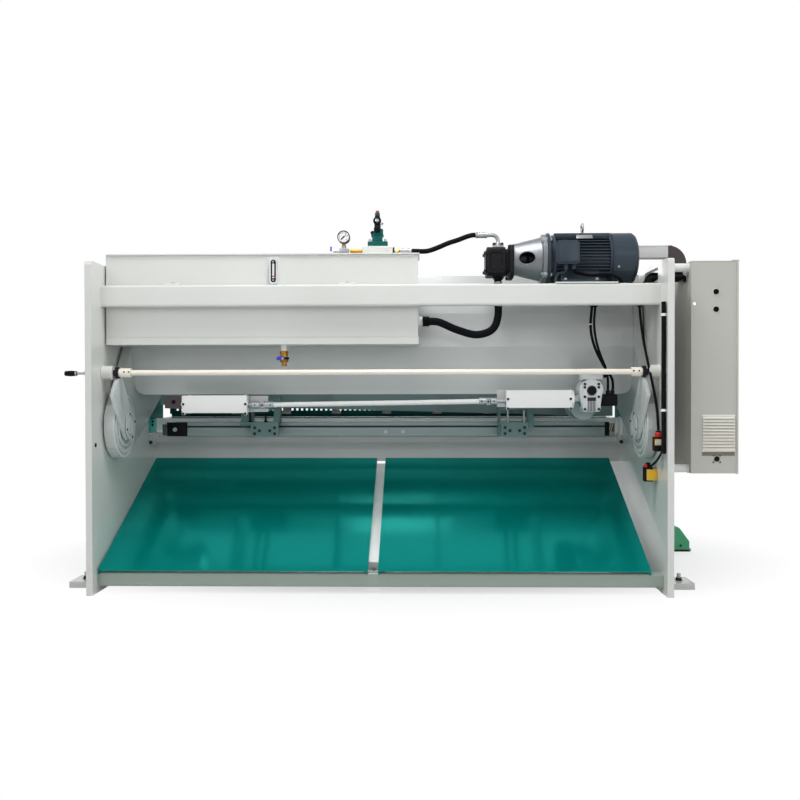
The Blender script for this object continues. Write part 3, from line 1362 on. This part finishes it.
def make_hoses(frame, port_x):
    y = TANK_REAR + VALVE_BLOCK_DEPTH
    z = TANK_TOP + 2 * SEAT + LID_THICKNESS + OUTLET_RISE
    elbow_z = DRIVE_Z + ELBOW_RISE
    first = VALVE_BLOCK_RIGHT + OUTLET_LENGTH + SEAT
    end = port_x - ELBOW_ARM - SEAT
    tube(frame, "pressure_hose", [
        (first, y, z), (first + 0.03, y, z), (first + 0.09, y + 0.014, z + 0.002),
        (first + 0.145, y + 0.03, z + 0.022), (first + 0.195, y + 0.043, z + 0.045),
        (end - 0.09, DRIVE_Y - 0.012, elbow_z - 0.025), (end - 0.05, DRIVE_Y - 0.002, elbow_z - 0.008),
        (end - 0.02, DRIVE_Y, elbow_z), (end, DRIVE_Y, elbow_z)], 0.012, "rubber")
    low_z = SUCTION_Z
    low_y = TANK_REAR + SUCTION_DEPTH
    inlet = DRIVE_Z - PUMP_DROP - PUMP_RADIUS - 0.012 - SEAT
    begin = TANK_RIGHT + SPIGOT_LENGTH + SEAT
    tube(frame, "suction_hose", [
        (begin, low_y, low_z), (begin + 0.025, low_y, low_z), (begin + 0.06, low_y, low_z - 0.006),
        (begin + 0.14, low_y + 0.01, low_z - 0.04), (begin + 0.235, DRIVE_Y - 0.015, low_z - 0.065),
        (port_x - 0.03, DRIVE_Y - 0.002, low_z - 0.04), (port_x, DRIVE_Y, low_z + 0.025),
        (port_x, DRIVE_Y, (low_z + inlet) / 2 + 0.02), (port_x, DRIVE_Y, inlet - 0.02),
        (port_x, DRIVE_Y, inlet)], 0.019, "rubber")


# Chutes


def chute_frame():
    """Direction up the chute and its upward normal, in the plane of a side plate."""
    run = Vector((CHUTE_HIGH[0] - CHUTE_LOW[0], CHUTE_HIGH[1] - CHUTE_LOW[1])).normalized()
    return run, Vector((-run.y, run.x))


def make_chute(frame, name, x):
    run, normal = chute_frame()
    low, high = Vector(CHUTE_LOW), Vector(CHUTE_HIGH)
    end = high - Vector((0, CHUTE_LIP / cos(CHUTE_SLOPE)))
    top = [low, high, end, low - normal * CHUTE_LIP]
    body = prism(frame, name, [tuple(point) for point in top], "X", *x, "green")
    under = [low - normal * CHUTE_SHEET - run * 0.05, high - normal * CHUTE_SHEET + run * 0.05,
             high - normal * 0.1 + run * 0.05, low - normal * 0.1 - run * 0.05]
    hollow = prism(frame, f"{name}_underside", [tuple(point) for point in under], "X",
                   x[0] + CHUTE_SHEET, x[1] - CHUTE_SHEET, "green")
    return cut(body, hollow)


def make_chutes(frame):
    make_chute(frame, "chute_left", CHUTE_LEFT)
    make_chute(frame, "chute_right", CHUTE_RIGHT)
    run, normal = chute_frame()
    low = Vector(CHUTE_LOW) - normal * (CHUTE_LIP + SEAT) + run * 0.1
    high = Vector(CHUTE_HIGH) - normal * (CHUTE_LIP + SEAT) - run * 0.02
    outline = [tuple(low), tuple(high), tuple(high - normal * 0.05), tuple(low - normal * 0.05)]
    middle = (CHUTE_LEFT[1] + CHUTE_RIGHT[0]) / 2
    prism(frame, "chute_strut", outline, "X", middle - 0.05, middle + 0.05, "paint")


# Electrical cabinet


def make_cabinet(frame, door_frame):
    x = (CABINET_LEFT, CABINET_DOOR_FACE)
    y = (CABINET_REAR, CABINET_FRONT)
    z = (CABINET_BOTTOM, CABINET_TOP)
    shell = block(frame, "cabinet", x, y, z, "cabinet_paint")
    hollow = block(frame, "cabinet_hollow", (x[0] + CABINET_WALL, x[1] + CLEAR),
                   (y[0] + CABINET_WALL, y[1] - CABINET_WALL), (z[0] + CABINET_WALL, z[1] - CABINET_WALL),
                   "cabinet_paint")
    for i, height in enumerate(STUB_ZS):
        for j, depth in enumerate(STUB_YS):
            stub = rod(frame, f"cabinet_stub_{i}{j}", "X", (depth, height), STUB_RADIUS, OUTER + SEAT,
                       x[0] + CABINET_WALL / 2, "cabinet_paint", SMALL_ROUND)
            join(shell, stub)
    cut(shell, hollow)
    for i in range(LOUVRES):
        height = LOUVRE_BOTTOM + i * LOUVRE_PITCH
        slot = block(frame, f"cabinet_louvre_{i + 1}", LOUVRE_X, (y[0] - CLEAR, y[0] + CLEAR),
                     (height, height + LOUVRE_SLOT), "cabinet_paint")
        cut(shell, slot)
    panel_x = x[0] + CABINET_WALL + PANEL_SPACER
    panel = block(frame, "cabinet_panel", (panel_x, panel_x + 0.003), (y[0] + 0.04, y[1] - 0.04),
                  (z[0] + 0.05, z[1] - 0.05), "zinc")
    join(shell, panel)
    for height in (z[0] + 0.1, z[1] - 0.1):
        for depth in (y[0] + 0.08, y[1] - 0.08):
            spacer = rod(frame, f"cabinet_spacer_{len(shell.modifiers)}", "X", (depth, height), 0.008,
                         x[0] + CABINET_WALL / 2, panel_x + 0.001, "zinc", SMALL_ROUND)
            join(shell, spacer)
    for i in range(3):
        height = z[0] + (z[1] - z[0]) * (0.25 + i * 0.27)
        rail = block(frame, f"cabinet_rail_{i + 1}", (panel_x + 0.001, panel_x + 0.01),
                     (y[0] + 0.07, y[1] - 0.07), (height, height + 0.035), "zinc")
        join(shell, rail)
    door_z = (z[0] - 0.002, z[1] + 0.002)
    door_y = (y[0] - 0.002, y[1] + 0.002)
    door = block(door_frame, "cabinet_door", (CABINET_DOOR_FACE + DOOR_GAP, CABINET_RIGHT), door_y,
                 door_z, "cabinet_paint", 0.002, 1)
    for i, rise in enumerate(DOOR_HANG_Z):
        hang_door(frame, door_frame, shell, door, i + 1, z[0] + rise)
    latch = rod(door_frame, "cabinet_latch", "X", (y[0] + 0.04, (z[0] + z[1]) / 2), 0.013,
                CABINET_RIGHT - 0.005, CABINET_RIGHT + 0.004, "black", SMALL_ROUND)
    join(door, latch)


def hang_door(frame, door_frame, shell, door, number, height):
    """One hinge: knuckle and pin on the cabinet, and above it the door's knuckle round the pin."""
    axis = (HINGE_X, HINGE_Y)
    low = (height, height + HINGE_LENGTH)
    high = (low[1] + SEAT, low[1] + SEAT + HINGE_LENGTH)
    step = CABINET_DOOR_FACE - 0.003
    gap = HINGE_Y - HINGE_RADIUS - 0.001
    leaf = [
        (step - 0.025, CABINET_FRONT - CABINET_WALL / 2),
        (step, CABINET_FRONT - CABINET_WALL / 2),
        (step, gap),
        (HINGE_X, gap),
        (HINGE_X, HINGE_Y - 0.001),
        (step - 0.025, HINGE_Y - 0.001),
    ]
    leaf = prism(frame, f"hinge_leaf_{number}", leaf, "Z", *low, "cabinet_paint")
    knuckle = rod(frame, f"hinge_knuckle_{number}", "Z", axis, HINGE_RADIUS, *low, "cabinet_paint",
                  SMALL_ROUND)
    pin = rod(frame, f"hinge_pin_{number}", "Z", axis, HINGE_PIN_RADIUS, low[1] - 0.01, high[1] + 0.003,
              "cabinet_paint", SMALL_ROUND)
    join(shell, leaf, knuckle, pin)
    door_leaf = block(door_frame, f"door_leaf_{number}", (HINGE_X - 0.005, HINGE_X + 0.0035),
                      (CABINET_FRONT - 0.006, HINGE_Y - 0.001), high, "cabinet_paint")
    door_knuckle = rod(door_frame, f"door_knuckle_{number}", "Z", axis, HINGE_RADIUS, *high,
                       "cabinet_paint", SMALL_ROUND)
    bore = rod(door_frame, f"door_bore_{number}", "Z", axis, HINGE_PIN_RADIUS + SLIDE_FIT,
               high[0] - CLEAR, high[1] + CLEAR, "cabinet_paint", SMALL_ROUND)
    join(door, door_leaf, door_knuckle)
    cut(door, bore)


def make_trunking(frame):
    y = (TRUNK_REAR, TRUNK_REAR + TRUNK_DEPTH)
    z = (TRUNK_BOTTOM, TRUNK_BOTTOM + TRUNK_HEIGHT)
    elbow_left = CABINET_LEFT - ELBOW_OVERHANG
    channel = block(frame, "trunking", (TRUNK_LEFT, elbow_left + 0.004), y,
                    (z[0] + 0.001, z[1] - 0.001), "plastic_grey")
    leg = block(frame, "trunking_leg", (INNER + 0.003, OUTER - 0.003), (y[0] + 0.015, y[1] - 0.015),
                (HEIGHT + SEAT, z[0] + 0.01), "plastic_grey")
    join(channel, leg)
    centre = (elbow_left, z[1] - ELBOW_RADIUS)
    top = arc(centre, ELBOW_RADIUS, pi / 2, 0, 8)
    inner = ELBOW_RADIUS - TRUNK_HEIGHT
    low = [(elbow_left + ELBOW_RADIUS, CABINET_TOP + SEAT), (elbow_left + inner, CABINET_TOP + SEAT)]
    outline = top + low + arc(centre, inner, 0, pi / 2, 5)
    elbow = prism(frame, "trunking_elbow", outline, "Y", y[0] - 0.002, y[1] + 0.002, "plastic_grey")
    join(channel, elbow)


# Switches and conduits on the right plate


def make_switches(frame):
    wall = INNER - SEAT
    y, z = SWITCH_UPPER_Y, SWITCH_UPPER_Z
    upper = block(frame, "switch_upper", (wall - 0.045, wall), (y, y + 0.045), (z, z + 0.067), "yellow",
                  0.003)
    head = rod(frame, "switch_upper_head", "Z", (wall - 0.022, y + 0.023), 0.013, z + 0.062, z + 0.094,
               "yellow", SMALL_ROUND)
    join(upper, head)
    y, z = SWITCH_LOWER_Y, SWITCH_LOWER_Z
    lower = block(frame, "switch_lower", (wall - 0.06, wall - 0.02), (y, y + 0.045), (z, z + 0.07),
                  "plastic_grey", 0.003)
    mount = block(frame, "switch_lower_mount", (wall - 0.03, wall), (y + 0.007, y + 0.038),
                  (z + 0.015, z + 0.055), "plastic_grey")
    lower_head = rod(frame, "switch_lower_head", "Z", (wall - 0.04, y + 0.0225), 0.012, z + 0.065,
                     z + 0.09, "plastic_grey", SMALL_ROUND)
    join(lower, mount, lower_head)
    x = wall - CONDUIT_RADIUS - SLIDE_FIT
    low, high = CONDUIT_Z
    tube(frame, "switch_conduit", [
        (x, CONDUIT_Y + drift, high + (low - high) * share)
        for share, drift in ((0, 0), (0.25, 0), (0.5, 0), (0.75, 0.001), (1, 0.001))
    ], CONDUIT_RADIUS, "rubber", 6)


def make_foot_switch(frame):
    x = (PEDAL_LEFT, PEDAL_LEFT + PEDAL_LENGTH)
    y = (PEDAL_Y, PEDAL_Y + PEDAL_WIDTH)
    low = PEDAL_BASE / 2
    outline = rounded([
        (x[0] + 0.008, low, 0), (x[1] - 0.008, low, 0), (x[1] - 0.008, 0.06, 0.01),
        (x[1] - 0.07, PEDAL_HEIGHT, 0.03), (x[0] + 0.05, PEDAL_HEIGHT, 0.03), (x[0] + 0.008, 0.06, 0.01)])
    cover = prism(frame, "foot_switch", outline, "Y", y[0] + 0.006, y[1] - 0.006, "pedal_green")
    inside = rounded([
        (x[0] + 0.014, PEDAL_BASE - 0.01, 0), (x[1] - 0.014, PEDAL_BASE - 0.01, 0),
        (x[1] - 0.014, 0.056, 0.008), (x[1] - 0.074, PEDAL_HEIGHT - 0.006, 0.025),
        (x[0] + 0.054, PEDAL_HEIGHT - 0.006, 0.025), (x[0] + 0.014, 0.056, 0.008)])
    hollow = prism(frame, "foot_switch_mouth", inside, "Y", y[0] + 0.012, y[1] + 0.02, "pedal_green")
    cut(cover, hollow)
    base = block(frame, "foot_switch_base", x, y, (0, PEDAL_BASE), "black", 0.004, 1)
    return join(cover, base)


def build():
    clear_scene()
    machine = Frame("machine", (0, 0, 0))
    pivot = (0, PIVOT_Y, PIVOT_Z)
    swing = Frame("swing_axis", pivot, machine)
    gap = Frame("gap_axis", (0, SHAFT_Y, SHAFT_Z), machine)
    sector_left = Frame("sector_left_axis", pivot, machine)
    sector_right = Frame("sector_right_axis", pivot, machine)
    carriage = Frame("gauge_axis", (0, HANGER_Y, SCREW_Z_LEFT), swing)
    door = Frame("door_axis", (HINGE_X, HINGE_Y, CABINET_BOTTOM), machine)
    drain = (DRAIN_X, TANK_REAR + 0.04, TANK_BOTTOM - 0.069)
    lever = Frame("drain_axis", drain, machine)

    make_housing(machine, -1, "housing_left")
    make_housing(machine, 1, "housing_right")
    make_table(machine)
    make_lower_blade(machine)
    make_rails(machine)
    make_hold_down(machine)
    make_fascia_and_guard(machine)
    make_supports(machine)
    make_rams(machine)
    make_arms(swing)
    make_sheet(swing)
    make_carrier(swing)
    make_upper_blade(swing)
    make_sector(sector_left, -1, "gap_sector_left")
    make_sector(sector_right, 1, "gap_sector_right")
    make_pinion(gap, -1, "gap_pinion_left")
    make_pinion(gap, 1, "gap_pinion_right")
    make_gap_rod(gap)
    make_crank(gap)
    for side, word in ((-1, "left"), (1, "right")):
        make_gauge_guide(swing, side, f"gauge_guide_{word}")
        make_hanger(carriage, side, f"gauge_hanger_{word}")
    make_gauge_bar(carriage)
    make_gauge_drive(swing)
    make_tank(machine)
    make_drain(machine, lever, *drain)
    make_valve_block(machine)
    make_motor(machine)
    make_motor_base(machine)
    make_hoses(machine, make_pump(machine))
    make_chutes(machine)
    make_cabinet(machine, door)
    make_trunking(machine)
    make_switches(machine)
    make_foot_switch(machine)


build()
